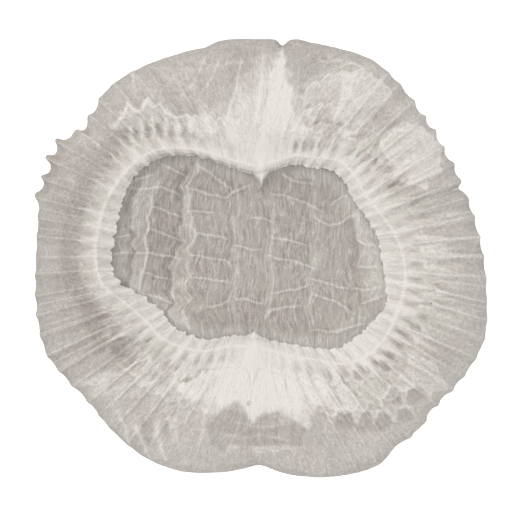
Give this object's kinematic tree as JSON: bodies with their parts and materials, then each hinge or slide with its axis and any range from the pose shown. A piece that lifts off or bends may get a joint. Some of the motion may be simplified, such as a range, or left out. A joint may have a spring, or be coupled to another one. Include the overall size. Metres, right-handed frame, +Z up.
{
  "type": "disposable bouffant cap",
  "caption": "Gathered non-woven disposable cap lying on its crown, with an elasticated opening up, turned hems and fused end seals.",
  "frame": {"origin": "on the resting plane, under the middle of the cap's outline", "axes": "+X across the cap to the right seen from above with the back seal away, +Y from the front seal to the back seal, +Z up out of the opening"},
  "size_m": [0.2722, 0.264, 0.0369],
  "materials": {
    "crown_fabric": "thin white spun-bonded non-woven, matt, fibres and fine wrinkles showing",
    "hem_fabric": "two layers of the same white non-woven, matt, closely gathered",
    "elastic": "white elastic thread, matt",
    "end_seal": "all the pleats of the non-woven fused together, dense and slightly shiny"
  },
  "bodies": {
    "root": {"crown_sheet": "crown_fabric", "hem_left": "hem_fabric", "hem_right": "hem_fabric", "elastic_left": "elastic", "elastic_right": "elastic", "end_seal_back": "end_seal", "end_seal_front": "end_seal"}
  },
  "joints": []
}
